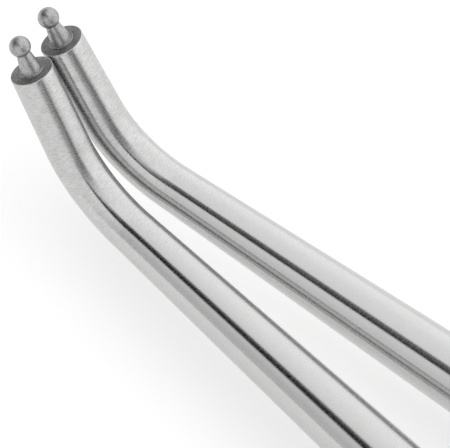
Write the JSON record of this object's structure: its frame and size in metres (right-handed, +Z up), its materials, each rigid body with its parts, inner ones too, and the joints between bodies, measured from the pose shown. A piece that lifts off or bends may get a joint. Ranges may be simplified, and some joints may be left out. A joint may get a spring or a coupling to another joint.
{
  "type": "spring bar pliers",
  "caption": "Fine lap-joint pliers with two round bent noses that carry ball-ended pins for squeezing watch spring bars, with two-part handle grips and a stop screw.",
  "frame": {"origin": "on the pivot axis, in the flat underside that the tool rests on", "axes": "+Y along the tool towards the tips, +X to the right seen from above, +Z up, the way the noses bend"},
  "size_m": [0.0432, 0.139, 0.0128],
  "materials": {
    "satin_steel": "satin, brushed round the noses and shanks",
    "pin_steel": "fine matt turned steel",
    "screw_steel": "turned and lightly polished",
    "spring_steel": "smooth tempered steel",
    "bronze": "rolled bronze shim",
    "grip_shell": "fine moulded grain",
    "grip_pad": "soft matt elastomer"
  },
  "bodies": {
    "lower_half": {"lower_lever": "satin_steel", "tip_pin_right": "pin_steel", "tip_set_screw_right": "screw_steel", "grip_left": "grip_shell", "grip_pad_left": "grip_pad", "pivot_bolt": "screw_steel", "pivot_nut": "screw_steel", "disc_spring": "spring_steel", "joint_shim": "bronze", "stop_lock_nut": "screw_steel"},
    "upper_half": {"upper_lever": "satin_steel", "tip_pin_left": "pin_steel", "tip_set_screw_left": "screw_steel", "grip_right": "grip_shell", "grip_pad_right": "grip_pad", "stop_button": "screw_steel"},
    "stop": {"stop_screw": "screw_steel"}
  },
  "joints": [
    {"name": "jaw_hinge", "type": "hinge", "parent": "lower_half", "child": "upper_half", "pos_m": [0, 0, 0.004], "axis": [0, 0, 1], "range_deg": [0, 28]},
    {"name": "stop_adjust", "type": "slide", "parent": "lower_half", "child": "stop", "axis": [-1, 0, 0], "range_m": [0, 0.002]}
  ]
}
